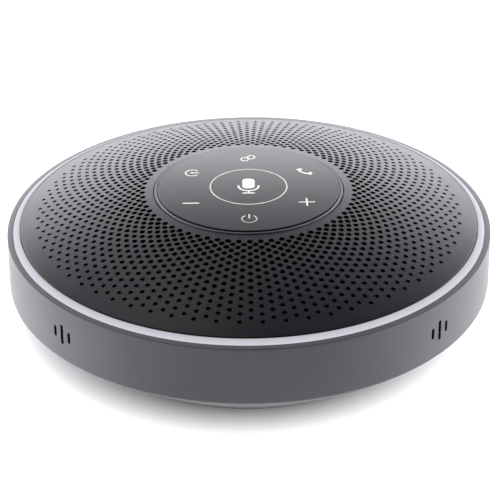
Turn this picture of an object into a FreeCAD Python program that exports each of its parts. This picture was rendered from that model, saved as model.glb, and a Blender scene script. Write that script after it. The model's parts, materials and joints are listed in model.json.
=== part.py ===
import FreeCAD, Part
import math
import os

# Conference speakerphone: a low round puck with a perforated dome, a light ring round its rim,
# a touch panel in the middle, and one loudspeaker underneath it.
# Millimetres. +Z is up, the origin is the middle of the footprint on the table, -Y is the front.

# Driving dimensions of the outside.
WALL_LOW_R = 63.0
WALL_LOW_Z = 17.2
WALL_TOP_R = 62.3
WALL_TOP_Z = 31.4
WALL_THICK = 2.2
SEAM_R = 62.5
SEAM_Z = 16.8
SEAM_TONGUE = 1.5
LIGHT_OUT_R = 60.9
LIGHT_OUT_Z = 31.62
LIGHT_IN_R = 59.1
LIGHT_IN_Z = 32.3
LIGHT_FOOT_R = 60.3
LIGHT_BOARD_R = (59.2, 60.75)
LIGHT_BOARD_THICK = 0.6
FOOT_OUT_R = 42.3
FOOT_IN_R = 36.0
FOOT_TOP_Z = 1.6
BASE_UNDER_Z = 1.0
BASE_FLOOR_Z = 3.0
BASE_EDGE_R = 43.6
BASE_HEAD_Z = 3.4

# Dome of the grille: a cap of one large sphere.
DOME_SPHERE_R = 222.0
DOME_TOP_R = 24.5
DOME_TOP_Z = 38.8
DOME_RIM_R = 59.0
DOME_CORNER = 0.5
GRILLE_THICK = 0.7
MESH_THICK = 0.25
MESH_GAP = 0.05
MESH_OUT_R = 57.6

# Touch panel in the middle.
PANEL_R = 23.5
PANEL_TOP_Z = 39.3
PANEL_LOW_Z = 37.9
TRIM_IN_R = 23.6
TRIM_FLANGE_R = 26.0
TRIM_LOW_Z = 37.4
TRIM_TOP_Z = 39.0
TRIM_DISH = 0.03
BOARD_DISC_R = 22.0
TOUCH_BOARD_Z = (36.2, 37.0)
CARRIER_Z = (34.6, 36.2)
ICON_RING_R = 9.9
ICON_RING_STROKE = 0.28
ICON_CIRCLE_R = 17.1
ICON_CIRCLE_Y = -0.45
ICON_STROKE = 0.45
ICON_DEPTH = 0.2

# Inside.
LEDGE_IN_R = 57.2
LEDGE_Z = (27.6, 29.0)
FRAME_Z = (24.5, 26.5)
FRAME_R = 56.0
FRAME_BORE_R = 24.3
POST_PITCH_R = 38.2
POST_R = 3.4
POST_LOW_Z = 5.0
BOSS_PITCH_R = 54.0
BOSS_COUNT = 6
CARRIER_POST_PITCH_R = 32.5
CARRIER_POST_ANGLE = 22.5
SPEAKER_SCREW_PITCH_R = 27.2
SCREW_CLEARANCE = 0.02

# Loudspeaker.
FLANGE_R = 29.0
FLANGE_Z = (27.0, 27.8)
CONE_OUT_R = 18.8
CONE_OUT_Z = 27.8
CONE_IN_R = 8.05
CONE_IN_Z = 21.0
FORMER_R = (7.9, 8.05)
COIL_R = 8.6
COIL_Z = (10.9, 15.5)
POLE_R = 7.5
MAGNET_R = (10.5, 17.5)
MAGNET_Z = (6.2, 12.2)
TOP_PLATE_R = (8.95, 18.0)
TOP_PLATE_TOP_Z = 14.2
YOKE_R = 17.0
YOKE_LOW_Z = 3.6
SPIDER_Z = 18.0
SPIDER_OUT_R = 19.9

# Electronics.
MAIN_BOARD_Z = (19.0, 20.2)
STANDOFFS = ((-19.5, 34.0), (19.5, 36.5), (-19.5, 48.0), (19.5, 48.0))
FLEX_X = (5.0, 11.0)
USB_SIZE = (8.94, 7.35, 3.26)
USB_FRONT_Y = 61.35
USB_WALL = 0.3
BATTERY_BOX = ((-21.0, -47.0, 12.5), (42.0, 15.0, 10.0))
BATTERY_WIRE_ROUTE = ((11, -30.4), (11, -29), (14, -26), (24, -17), (29.5, -5), (29.5, 8), (25, 17),
                      (15.5, 26), (14.7, 27.6), (14.7, 29))
MIC_MID_Z = 24.0
MIC_BOARD_Z = (20.8, 27.5)
MIC_ANGLES = {"front_right": -45.6, "rear_right": 45.6, "rear_left": 134.4, "front_left": 225.6}
SLIT_WIDTH = 0.8
SLIT_PITCH = 2.48
SLIT_LENGTHS = (2.9, 5.2, 2.9)
LED_COUNT = 24

UP = FreeCAD.Vector(0, 0, 1)
CENTRE = FreeCAD.Vector(0, 0, 0)


# ---------------------------------------------------------------- shape helpers
def vector(x, y, z):
    return FreeCAD.Vector(x, y, z)


def turned(outline):
    """Solid turned about Z from (r, z) corners; a corner (r, z, mid_r, mid_z) is reached by an arc."""
    points = [vector(corner[0], 0, corner[1]) for corner in outline]
    edges = []
    for index, corner in enumerate(outline):
        start = points[index - 1]
        if len(corner) == 4:
            edges.append(Part.Arc(start, vector(corner[2], 0, corner[3]), points[index]).toShape())
        else:
            edges.append(Part.LineSegment(start, points[index]).toShape())
    return Part.Face(Part.Wire(edges)).revolve(CENTRE, UP, 360)


def annulus(inner, outer, low, high):
    ring = Part.makeCylinder(outer, high - low, vector(0, 0, low))
    if inner > 0:
        ring = ring.cut(Part.makeCylinder(inner, high - low, vector(0, 0, low)))
    return ring


def post(x, y, radius, low, high):
    return Part.makeCylinder(radius, high - low, vector(x, y, low))


def box(x, y, z):
    """Box between two values on each axis."""
    return Part.makeBox(x[1] - x[0], y[1] - y[0], z[1] - z[0], vector(x[0], y[0], z[0]))


def turn(shape, degrees):
    copy = shape.copy()
    copy.rotate(CENTRE, UP, degrees)
    return copy


def polar(radius, degrees):
    return radius * math.cos(math.radians(degrees)), radius * math.sin(math.radians(degrees))


def around(radius, count, first=0.0):
    """Places evenly spaced on a circle."""
    return [polar(radius, first + 360.0 * step / count) for step in range(count)]


def cut_all(body, tools):
    return body.cut(Part.makeCompound(tools))


def fuse_all(shapes):
    return shapes[0].multiFuse(shapes[1:]).removeSplitter()


def screws(places, head_r, head_z, shank_r, shank_z):
    """A group of equal screws: a head with a cross recess and a shank on one side of it."""
    group = []
    for x, y in places:
        head = post(x, y, head_r, *head_z)
        above = head_z[0] >= shank_z[1] - 0.01
        mouth = head_z[1] if above else head_z[0]
        deep = mouth - 0.45 if above else mouth + 0.45
        recess_z = (min(mouth, deep), max(mouth, deep))
        half = 0.6 * head_r
        thin = 0.15 * head_r
        cross = [box((x - half, x + half), (y - thin, y + thin), recess_z),
                 box((x - thin, x + thin), (y - half, y + half), recess_z)]
        group.append(fuse_all([cut_all(head, cross), post(x, y, shank_r, *shank_z)]))
    return Part.makeCompound(group)


def dome_z(radius, drop=0.0):
    """Height of the dome at a radius, or of a surface parallel to it and lower by drop."""
    centre_z = DOME_TOP_Z - math.sqrt(DOME_SPHERE_R ** 2 - DOME_TOP_R ** 2)
    return centre_z + math.sqrt((DOME_SPHERE_R - drop) ** 2 - radius ** 2)


def dome_arc(start_r, end_r, drop=0.0):
    """Outline corner reached along the dome's arc."""
    middle = 0.5 * (start_r + end_r)
    return end_r, dome_z(end_r, drop), middle, dome_z(middle, drop)


# ---------------------------------------------------------------- housing
def post_places():
    return around(POST_PITCH_R, 4, 45)


def base_cover():
    tongue_r = SEAM_R - 1.6
    inner_r = tongue_r - 1.3
    outline = [(0, BASE_UNDER_Z), (FOOT_IN_R - 0.1, BASE_UNDER_Z), (FOOT_IN_R - 0.1, FOOT_TOP_Z),
               (FOOT_OUT_R + 0.1, FOOT_TOP_Z), (FOOT_OUT_R + 0.1, BASE_UNDER_Z), (BASE_EDGE_R, BASE_UNDER_Z),
               (SEAM_R, SEAM_Z), (tongue_r, SEAM_Z), (tongue_r, SEAM_Z + SEAM_TONGUE),
               (inner_r, SEAM_Z + SEAM_TONGUE), (inner_r, SEAM_Z), (BASE_EDGE_R - 0.6, BASE_FLOOR_Z),
               (0, BASE_FLOOR_Z)]
    shell = turned(outline)
    places = post_places()
    bosses = [post(x, y, POST_R + 0.6, BASE_FLOOR_Z - 0.5, POST_LOW_Z) for x, y in places]
    shell = fuse_all([shell] + bosses)
    holes = [post(x, y, 1.1, BASE_UNDER_Z, POST_LOW_Z) for x, y in places]
    heads = [post(x, y, 2.2, BASE_UNDER_Z, BASE_HEAD_Z) for x, y in places]
    return cut_all(shell, holes + heads)


def foot_ring():
    edge = 0.4
    return turned([(FOOT_IN_R + edge, 0), (FOOT_OUT_R - edge, 0), (FOOT_OUT_R, edge),
                   (FOOT_OUT_R, FOOT_TOP_Z), (FOOT_IN_R, FOOT_TOP_Z), (FOOT_IN_R, edge)])


def base_screws():
    return screws(post_places(), 2.0, (1.8, BASE_HEAD_Z), 1.0, (BASE_HEAD_Z, 13.0))


def mic_slits():
    """Three upright slits with round ends through the wall, in the +X direction."""
    tools = []
    for step, length in zip((-1, 0, 1), SLIT_LENGTHS):
        y = step * SLIT_PITCH
        straight = 0.5 * (length - SLIT_WIDTH)
        half = 0.5 * SLIT_WIDTH
        tools.append(box((56, 66), (y - half, y + half), (MIC_MID_Z - straight, MIC_MID_Z + straight)))
        for end in (-straight, straight):
            tools.append(Part.makeCylinder(half, 10, vector(56, y, MIC_MID_Z + end), vector(1, 0, 0)))
    return fuse_all(tools)


def usb_cut():
    """Rounded opening in the rear wall for the USB receptacle."""
    width = USB_SIZE[0] + 0.56
    height = USB_SIZE[2] + 0.56
    low = MAIN_BOARD_Z[1] - 0.28
    corner = 1.2
    block = box((-width / 2, width / 2), (56, 66), (low, low + height))
    edges = [edge for edge in block.Edges if abs(edge.tangentAt(0).y) > 0.9]
    return block.makeFillet(corner, edges)


def side_housing():
    inner = WALL_LOW_R - WALL_THICK - 0.4
    groove_r = SEAM_R - 1.5
    groove_z = SEAM_Z + SEAM_TONGUE + 0.2
    low_edge = (WALL_LOW_R, WALL_LOW_Z + 0.3, WALL_LOW_R - 0.12, SEAM_Z + 0.2)
    outline = [(groove_r, SEAM_Z), (SEAM_R, SEAM_Z), low_edge, (WALL_TOP_R, WALL_TOP_Z),
               (LIGHT_OUT_R + 0.1, LIGHT_OUT_Z - 0.03), (LIGHT_OUT_R + 0.1, LEDGE_Z[1]),
               (LEDGE_IN_R, LEDGE_Z[1]), (LEDGE_IN_R, LEDGE_Z[0]), (inner, LEDGE_Z[0]), (inner, groove_z),
               (groove_r, groove_z)]
    shell = turned(outline)
    additions = []
    pilots = []
    for step in range(BOSS_COUNT):
        angle = 360.0 * step / BOSS_COUNT
        web = box((BOSS_PITCH_R, inner + 0.3), (-1.2, 1.2), (20.5, FRAME_Z[0]))
        boss = post(BOSS_PITCH_R, 0, 2.6, 19.4, FRAME_Z[0])
        additions.append(turn(boss.fuse(web), angle))
        pilots.append(turn(post(BOSS_PITCH_R, 0, 1.0 + SCREW_CLEARANCE, 19.4, FRAME_Z[0]), angle))
    shell = fuse_all([shell] + additions)
    slits = [turn(mic_slits(), angle) for angle in MIC_ANGLES.values()]
    return cut_all(shell, pilots + slits + [usb_cut()])


def light_board():
    return annulus(*LIGHT_BOARD_R, LEDGE_Z[1], LEDGE_Z[1] + LIGHT_BOARD_THICK)


def light_leds():
    low = LEDGE_Z[1] + LIGHT_BOARD_THICK
    chip = box((LIGHT_BOARD_R[0] + 0.15, LIGHT_BOARD_R[0] + 0.95), (-0.7, 0.7), (low, low + 0.5))
    return Part.makeCompound([turn(chip, 360.0 * (step + 0.5) / LED_COUNT) for step in range(LED_COUNT)])


def light_ring():
    foot = LEDGE_Z[1] + LIGHT_BOARD_THICK
    roof = foot + 0.6
    inner = LIGHT_IN_R + 0.05
    return turned([(LIGHT_FOOT_R, foot), (LIGHT_BOARD_R[1], foot), (LIGHT_OUT_R, LIGHT_OUT_Z),
                   (inner, LIGHT_IN_Z), (inner, roof), (LIGHT_FOOT_R, roof)])


# ---------------------------------------------------------------- dome and touch panel
def grille():
    flat_r = DOME_RIM_R - DOME_CORNER
    skirt_r = DOME_RIM_R - GRILLE_THICK
    start_r = DOME_TOP_R + 0.1
    corner_z = dome_z(flat_r) - DOME_CORNER
    middle = (DOME_RIM_R - 0.3 * DOME_CORNER, dome_z(flat_r) - 0.3 * DOME_CORNER)
    return turned([(start_r, dome_z(start_r)), dome_arc(start_r, flat_r), (DOME_RIM_R, corner_z) + middle,
                   (DOME_RIM_R, LEDGE_Z[1]), (skirt_r, LEDGE_Z[1]), (skirt_r, dome_z(skirt_r, GRILLE_THICK)),
                   dome_arc(skirt_r, start_r, GRILLE_THICK)])


def dust_mesh():
    top = GRILLE_THICK + MESH_GAP
    bottom = top + MESH_THICK
    inner = TRIM_FLANGE_R + 0.3
    outer = MESH_OUT_R
    return turned([(inner, dome_z(inner, top)), dome_arc(inner, outer, top), (outer, dome_z(outer, bottom)),
                   dome_arc(outer, inner, bottom)])


def panel_trim():
    under_grille = dome_z(TRIM_FLANGE_R, GRILLE_THICK) - 0.03
    return turned([(TRIM_IN_R, TRIM_TOP_Z - TRIM_DISH), (DOME_TOP_R, TRIM_TOP_Z), (DOME_TOP_R, under_grille),
                   (TRIM_FLANGE_R, under_grille), (TRIM_FLANGE_R, TRIM_LOW_Z), (TRIM_IN_R, TRIM_LOW_Z)])


def flat_piece(edges):
    """Thin plate of the icons' depth inside a closed run of edges."""
    return Part.Face(Part.Wire(edges)).extrude(vector(0, 0, ICON_DEPTH))


def stroke(start, end, width=ICON_STROKE):
    """Flat bar with round ends from start to end in the plane of the panel."""
    length = math.hypot(end[0] - start[0], end[1] - start[1])
    half = width / 2
    edges = [Part.LineSegment(vector(0, -half, 0), vector(length, -half, 0)).toShape(),
             Part.Arc(vector(length, -half, 0), vector(length + half, 0, 0),
                      vector(length, half, 0)).toShape(),
             Part.LineSegment(vector(length, half, 0), vector(0, half, 0)).toShape(),
             Part.Arc(vector(0, half, 0), vector(-half, 0, 0), vector(0, -half, 0)).toShape()]
    bar = turn(flat_piece(edges), math.degrees(math.atan2(end[1] - start[1], end[0] - start[0])))
    bar.translate(vector(start[0], start[1], 0))
    return bar


def arc_stroke(radius, first, last, width=ICON_STROKE):
    """Part of a flat ring from the first to the last angle, with round ends."""
    half = width / 2
    middle = 0.5 * (first + last)
    bulge = math.degrees(half / radius)

    def at(distance, angle):
        return vector(*polar(distance, angle), 0)

    outer = radius + half
    inner = radius - half
    arcs = [(at(outer, first), at(outer, middle), at(outer, last)),
            (at(outer, last), at(radius, last + bulge), at(inner, last)),
            (at(inner, last), at(inner, middle), at(inner, first)),
            (at(inner, first), at(radius, first - bulge), at(outer, first))]
    return flat_piece([Part.Arc(*arc).toShape() for arc in arcs])


def rounded_plate(width, height, corner):
    """Thin rectangular plate with rounded corners, centred on the origin."""
    block = box((-width / 2, width / 2), (-height / 2, height / 2), (0, ICON_DEPTH))
    return block.makeFillet(corner, [edge for edge in block.Edges if abs(edge.tangentAt(0).z) > 0.9])


def microphone_icon():
    pill = rounded_plate(3.2, 5.6, 1.25)
    pill.translate(vector(0, 1.6, 0))
    cradle = arc_stroke(2.6, 176, 364, 0.56)
    cradle.translate(vector(0, 0.1, 0))
    foot = [stroke((0, -2.4), (0, -3.7)), stroke((-1.3, -3.75), (1.3, -3.75), 0.62)]
    return [pill, fuse_all([cradle] + foot)]


def power_icon():
    return [arc_stroke(1.85, 125, 415, 0.3), stroke((0, 0.35), (0, 2.2), 0.38)]


def plus_icon():
    return [fuse_all([stroke((-2.05, 0), (1.65, 0)), stroke((-0.2, -1.95), (-0.2, 1.95))])]


def minus_icon():
    return [stroke((-1.65, 0), (2.05, 0), 0.5)]


def enter_icon():
    """Open ring with a dot in its middle on a stem that comes in through the gap."""
    ring = arc_stroke(1.75, 44, 316, 0.4)
    dot = annulus(0, 0.42, 0, ICON_DEPTH)
    return [ring, fuse_all([dot, stroke((0, 0), (1.75, 0), 0.34)])]


def handset_icon():
    """Slender receiver: a shallow curve with a thicker block at each end."""
    curve = 3.5
    middle = 230
    reach = 34
    pieces = [arc_stroke(curve, middle - reach, middle + reach, 0.58)]
    for side in (-reach, reach):
        pieces.append(stroke(polar(curve, middle + side), polar(curve - 0.6, middle + side), 1.0))
    handset = fuse_all(pieces)
    lift = polar(curve - 0.6, middle)
    handset.translate(vector(-lift[0], -lift[1], 0))
    return [handset]


def link_icon():
    """Two linked round loops."""
    apart = 0.86
    loops = []
    for side in (-1, 1):
        loop = annulus(0.78, 1.2, 0, ICON_DEPTH)
        loop.translate(vector(apart * side, 0.7 * apart * side, 0))
        loops.append(loop)
    return [fuse_all(loops)]


def panel_icons():
    half = ICON_RING_STROKE / 2
    ring = annulus(ICON_RING_R - half, ICON_RING_R + half, 0, ICON_DEPTH)
    icons = [ring] + microphone_icon()
    circle = [handset_icon, link_icon, enter_icon, minus_icon, power_icon, plus_icon]
    for step, icon in enumerate(circle):
        x, y = polar(ICON_CIRCLE_R, 30 + 60 * step)
        for piece in icon():
            piece.translate(vector(x, y + ICON_CIRCLE_Y, 0))
            icons.append(piece)
    group = Part.makeCompound([piece.Solids[0] for piece in icons])
    group.translate(vector(0, 0, PANEL_TOP_Z - ICON_DEPTH))
    return group


def touch_panel(icons):
    edge = 0.05
    disc = turned([(0, PANEL_LOW_Z), (PANEL_R, PANEL_LOW_Z), (PANEL_R, PANEL_TOP_Z - edge),
                   (PANEL_R - edge, PANEL_TOP_Z), (0, PANEL_TOP_Z)])
    return disc.cut(icons)


def icon_places():
    return [(0, 0)] + [(x, y + ICON_CIRCLE_Y) for x, y in around(ICON_CIRCLE_R, 6, 30)]


def light_baffle():
    """Dark spacer with one round light well under each symbol."""
    disc = annulus(0, BOARD_DISC_R, TOUCH_BOARD_Z[1], PANEL_LOW_Z)
    wells = [post(x, y, 2.6, TOUCH_BOARD_Z[1], PANEL_LOW_Z) for x, y in icon_places()]
    return cut_all(disc, wells)


def touch_board():
    return annulus(0, BOARD_DISC_R, *TOUCH_BOARD_Z)


def touch_leds():
    low = TOUCH_BOARD_Z[1]
    chips = [box((x - 0.8, x + 0.8), (y - 0.4, y + 0.4), (low, low + 0.5)) for x, y in icon_places()]
    return Part.makeCompound(chips)


def carrier_places():
    return around(CARRIER_POST_PITCH_R, 4, CARRIER_POST_ANGLE)


def panel_carrier():
    low, high = CARRIER_Z
    parts = [annulus(0, TRIM_FLANGE_R + 0.2, low, high),
             annulus(BOARD_DISC_R + 0.2, TRIM_FLANGE_R, high, TRIM_LOW_Z)]
    for step in range(4):
        arm = box((20, CARRIER_POST_PITCH_R), (-1.6, 1.6), (low, high))
        leg = post(CARRIER_POST_PITCH_R, 0, 2.4, FRAME_Z[1], high)
        parts.append(turn(arm.fuse(leg), CARRIER_POST_ANGLE + 90 * step))
    slot = box((FLEX_X[0] - 0.5, FLEX_X[1] + 0.5), (14.0, 16.0), (low, high))
    pilots = [post(x, y, 0.9 + SCREW_CLEARANCE, FRAME_Z[1], 32.0) for x, y in carrier_places()]
    return cut_all(fuse_all(parts), pilots + [slot])


def carrier_screws():
    return screws(carrier_places(), 1.7, (FRAME_Z[0] - 0.8, FRAME_Z[0]), 0.9, (FRAME_Z[0], 31.0))


def panel_flex():
    """Thin ribbon from the touch board, over the loudspeaker's flange and down to the main board."""
    thick = 0.2
    top = CARRIER_Z[1]
    run_z = 33.6
    near_y = 14.9
    far_y = 31.5
    runs = [box(FLEX_X, (near_y, near_y + thick), (run_z, top)),
            box(FLEX_X, (near_y, far_y + thick), (run_z, run_z + thick)),
            box(FLEX_X, (far_y, far_y + thick), (MAIN_BOARD_Z[1] + 0.9, run_z + thick))]
    return fuse_all(runs)


# ---------------------------------------------------------------- inner frame
def speaker_screw_places():
    return around(SPEAKER_SCREW_PITCH_R, 4, 45)


def frame_boss_places():
    return around(BOSS_PITCH_R, BOSS_COUNT)


def inner_frame():
    low, high = FRAME_Z
    plate = annulus(FRAME_BORE_R, FRAME_R, low, high)
    posts = [post(x, y, POST_R, POST_LOW_Z, low) for x, y in post_places()]
    posts += [post(x, y, 2.0, MAIN_BOARD_Z[1], low) for x, y in STANDOFFS]
    body = fuse_all([plate] + posts)
    holes = [post(x, y, 1.0 + SCREW_CLEARANCE, POST_LOW_Z, 15.0) for x, y in post_places()]
    holes += [post(x, y, 0.8 + SCREW_CLEARANCE, MAIN_BOARD_Z[1], low) for x, y in STANDOFFS]
    holes += [post(x, y, 1.15, low, high) for x, y in frame_boss_places()]
    holes += [post(x, y, 0.8 + SCREW_CLEARANCE, low, high) for x, y in speaker_screw_places()]
    holes += [post(x, y, 1.05, low, high) for x, y in carrier_places()]
    holes.append(box((FLEX_X[0] - 0.5, FLEX_X[1] + 0.5), (30.9, 32.3), (low, high)))
    return cut_all(body, holes)


def frame_screws():
    return screws(frame_boss_places(), 1.9, (FRAME_Z[1], FRAME_Z[1] + 1.0), 1.0, (20.0, FRAME_Z[1]))


# ---------------------------------------------------------------- loudspeaker
def speaker_gasket():
    ring = annulus(FRAME_BORE_R, FLANGE_R, FRAME_Z[1], FLANGE_Z[0])
    holes = [post(x, y, 1.0, FRAME_Z[1], FLANGE_Z[0]) for x, y in speaker_screw_places()]
    return cut_all(ring, holes)


def speaker_basket():
    low, high = FLANGE_Z
    shell = turned([(FLANGE_R, low), (FLANGE_R, high), (22.8, high), (20.2, SPIDER_Z), (17.9, SPIDER_Z),
                    (17.3, 15.0), (9.4, 15.0), (9.4, TOP_PLATE_TOP_Z), (18.0, TOP_PLATE_TOP_Z), (18.6, 17.2),
                    (20.8, 17.2), (23.5, low)])
    windows = [turn(box((15, 26), (-5.2, 5.2), (19.2, 26.0)), 60 * step) for step in range(6)]
    holes = [post(x, y, 0.95, low, high) for x, y in speaker_screw_places()]
    return cut_all(shell, windows + holes)


def speaker_screws():
    return screws(speaker_screw_places(), 1.5, (FLANGE_Z[1], FLANGE_Z[1] + 0.8), 0.8,
                  (24.0, FLANGE_Z[1]))


def speaker_top_plate():
    return annulus(*TOP_PLATE_R, MAGNET_Z[1], TOP_PLATE_TOP_Z)


def speaker_magnet():
    return annulus(*MAGNET_R, *MAGNET_Z)


def speaker_yoke():
    vent = 2.0
    return turned([(vent, YOKE_LOW_Z), (YOKE_R, YOKE_LOW_Z), (YOKE_R, MAGNET_Z[0]), (POLE_R, MAGNET_Z[0]),
                   (POLE_R, TOP_PLATE_TOP_Z - 0.3), (POLE_R - 0.3, TOP_PLATE_TOP_Z), (vent, TOP_PLATE_TOP_Z)])


def speaker_surround():
    """Half roll between the basket's flange and the cone, with a flat landing on each side."""
    top = FLANGE_Z[1]
    thick = 0.4
    roll_in = CONE_OUT_R + 0.1
    roll_out = 22.8
    middle = 0.5 * (roll_in + roll_out)
    peak = top + 0.5 * (roll_out - roll_in)
    landing_r = 24.6
    cone_landing_r = roll_in - 1.3
    return turned([(landing_r, top), (landing_r, top + thick), (roll_out, top + thick),
                   (roll_in, top + thick, middle, peak + thick), (cone_landing_r, top + thick),
                   (cone_landing_r, top), (roll_in, top), (roll_out, top, middle, peak)])


def speaker_cone():
    thick = 0.5
    return turned([(CONE_IN_R, CONE_IN_Z), (CONE_OUT_R - 0.7, CONE_OUT_Z - thick),
                   (CONE_OUT_R, CONE_OUT_Z - thick), (CONE_OUT_R, CONE_OUT_Z),
                   (CONE_OUT_R - 1.2, CONE_OUT_Z), (CONE_IN_R, CONE_IN_Z + thick)])


def speaker_dust_cap():
    """Cap of a thin sphere with a pinhole vent in its middle, ending just above the cone."""
    rim = 8.7
    vent = 0.3
    top = 25.0
    outer = 15.5
    thick = 0.4

    def height(radius, sphere):
        return top - outer + math.sqrt(sphere ** 2 - radius ** 2)

    inner = outer - thick
    inner_rim = rim - 0.1
    under_arc = (vent, height(vent, inner), inner_rim / 2, height(inner_rim / 2, inner))
    outer_arc = (rim, height(rim, outer), rim / 2, height(rim / 2, outer))
    low = height(inner_rim, inner)
    return turned([under_arc, (vent, height(vent, outer)), outer_arc, (rim, low + 0.04), (inner_rim, low)])


def voice_coil_former():
    return annulus(*FORMER_R, COIL_Z[0] - 0.3, 21.4)


def voice_coil():
    return annulus(FORMER_R[1], COIL_R, *COIL_Z)


def speaker_spider():
    """Corrugated disc: an inner collar on the former, three waves and a flat outer landing."""
    thick = 0.3
    wave = 0.5
    first = 9.6
    last = 17.7
    crests = 6
    step = (last - first) / crests
    lower = [(FORMER_R[1], SPIDER_Z), (first, SPIDER_Z)]
    for index in range(crests):
        sign = 1 if index % 2 == 0 else -1
        start = first + step * index
        lower.append((start + step, SPIDER_Z, start + 0.5 * step, SPIDER_Z + sign * wave))
    lower.append((SPIDER_OUT_R, SPIDER_Z))
    upper = [(SPIDER_OUT_R, SPIDER_Z + thick), (last, SPIDER_Z + thick)]
    for index in reversed(range(crests)):
        sign = 1 if index % 2 == 0 else -1
        start = first + step * index
        upper.append((start, SPIDER_Z + thick, start + 0.5 * step, SPIDER_Z + thick + sign * wave))
    upper.append((FORMER_R[1], SPIDER_Z + thick))
    return turned(lower + upper)


def speaker_terminals():
    return box((-4, 4), (22.85, 24.0), (19.5, 24.0))


def wire_runs(xs, y, z, radius):
    runs = [Part.makeCylinder(radius, y[1] - y[0], vector(x, y[0], z), vector(0, 1, 0)) for x in xs]
    return Part.makeCompound(runs)


def speaker_wires():
    return wire_runs((-1.2, 1.2), (24.0, 29.0), 21.6, 0.6)


# ---------------------------------------------------------------- electronics
def main_board():
    corners = [(-22, 28.8), (22, 28.8), (22, 50), (14, 57), (-14, 57), (-22, 50), (-22, 28.8)]
    face = Part.Face(Part.makePolygon([vector(x, y, MAIN_BOARD_Z[0]) for x, y in corners]))
    board = face.extrude(vector(0, 0, MAIN_BOARD_Z[1] - MAIN_BOARD_Z[0]))
    return cut_all(board, [post(x, y, 1.0, *MAIN_BOARD_Z) for x, y in STANDOFFS])


def board_screws():
    low = MAIN_BOARD_Z[0]
    return screws(STANDOFFS, 1.6, (low - 0.7, low), 0.8, (low, 23.5))


def shield_can():
    low = MAIN_BOARD_Z[1]
    block = box((-16, -2), (36, 50), (low, low + 1.9))
    corners = [edge for edge in block.Edges if abs(edge.tangentAt(0).z) > 0.9]
    return block.makeFillet(1.0, corners)


def board_chips():
    top = MAIN_BOARD_Z[1]
    under = MAIN_BOARD_Z[0]
    chips = [((3, 9), (38, 44), (top, top + 0.9)), ((11, 16), (39, 42), (top, top + 0.8)),
             ((4, 8), (46.5, 49.5), (top, top + 1.6)), ((10, 13), (47, 50), (top, top + 1.2)),
             ((-12, 12), (53.2, 54.0), (under - 0.8, under)), ((-8, -2), (40, 46), (under - 0.9, under)),
             ((3, 7), (36, 40), (under - 1.4, under))]
    return Part.makeCompound([box(*chip) for chip in chips])


def plug_block(x, y, height):
    """Board connector: a plain block with a shallow recess on top."""
    low = MAIN_BOARD_Z[1]
    block = box(x, y, (low, low + height))
    recess = box((x[0] + 0.6, x[1] - 0.6), (y[0] + 1.6, y[1] - 0.4), (low + height - 0.5, low + height))
    return block.cut(recess)


def flex_connector():
    return box((FLEX_X[0] - 0.6, FLEX_X[1] + 0.6), (30.4, 32.8), (MAIN_BOARD_Z[1], MAIN_BOARD_Z[1] + 0.9))


def speaker_connector():
    return plug_block((-3.2, 3.2), (29.0, 33.0), 2.8)


def battery_connector():
    return plug_block((12.0, 17.4), (29.0, 33.0), 2.8)


def usb_receptacle():
    width, depth, height = USB_SIZE
    low = MAIN_BOARD_Z[1]
    y = (USB_FRONT_Y - depth, USB_FRONT_Y)
    block = box((-width / 2, width / 2), y, (low, low + height))
    hollow = box((USB_WALL - width / 2, width / 2 - USB_WALL), (y[0] + USB_WALL, y[1]),
                 (low + USB_WALL, low + height - USB_WALL))
    shell = []
    for shape, radius in ((block, 1.2), (hollow, 0.9)):
        corners = [edge for edge in shape.Edges if abs(edge.tangentAt(0).y) > 0.9]
        shell.append(shape.makeFillet(radius, corners))
    return shell[0].cut(shell[1])


def usb_tongue():
    middle = MAIN_BOARD_Z[1] + USB_SIZE[2] / 2
    back = USB_FRONT_Y - USB_SIZE[1] + USB_WALL
    inside = USB_SIZE[0] / 2 - USB_WALL - 0.02
    block = box((-inside + 0.9, inside - 0.9), (back, back + 1.6), (middle - 1.3, middle + 1.3))
    blade = box((-3.35, 3.35), (back, USB_FRONT_Y - 0.9), (middle - 0.35, middle + 0.35))
    return block.fuse(blade)


def battery_pack():
    corner, size = BATTERY_BOX
    block = Part.makeBox(*size, vector(*corner))
    edges = [edge for edge in block.Edges if abs(edge.tangentAt(0).x) > 0.9]
    return block.makeFillet(2.0, edges)


def battery_foam():
    corner, size = BATTERY_BOX
    return box((-18, 18), (corner[1] + 3, corner[1] + size[1] - 3), (corner[2] + size[2], FRAME_Z[0]))


def battery_circuit():
    corner, size = BATTERY_BOX
    face = corner[1] + size[1]
    return box((5, 17), (face, face + 1.6), (19.4, 22.8))


def routed_wire(route, z, radius):
    """Round wire through level points, with a ball at each bend."""
    pieces = []
    for start, end in zip(route, route[1:]):
        run = vector(end[0] - start[0], end[1] - start[1], 0)
        pieces.append(Part.makeCylinder(radius, run.Length, vector(*start, z), run))
    pieces += [Part.makeSphere(radius, vector(*point, z)) for point in route[1:-1]]
    return fuse_all(pieces)


def battery_wires():
    """Two insulated wires round the magnet, from the battery's circuit to its connector."""
    return Part.makeCompound([routed_wire(BATTERY_WIRE_ROUTE, z, 0.5) for z in (21.0, 22.2)])


# ---------------------------------------------------------------- microphones
def mic_gasket(angle):
    block = box((58.6, 60.2), (-4.2, 4.2), MIC_BOARD_Z)
    window = box((58.6, 60.2), (-3.1, 3.1), (MIC_MID_Z - 2.7, MIC_MID_Z + 2.7))
    return turn(block.cut(window), angle)


def mic_board(angle):
    return turn(box((57.8, 58.6), (-4.5, 4.5), MIC_BOARD_Z), angle)


def mic_capsule(angle):
    return turn(box((56.8, 57.8), (-1.9, 1.9), (MIC_MID_Z - 1.4, MIC_MID_Z + 1.4)), angle)


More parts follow.
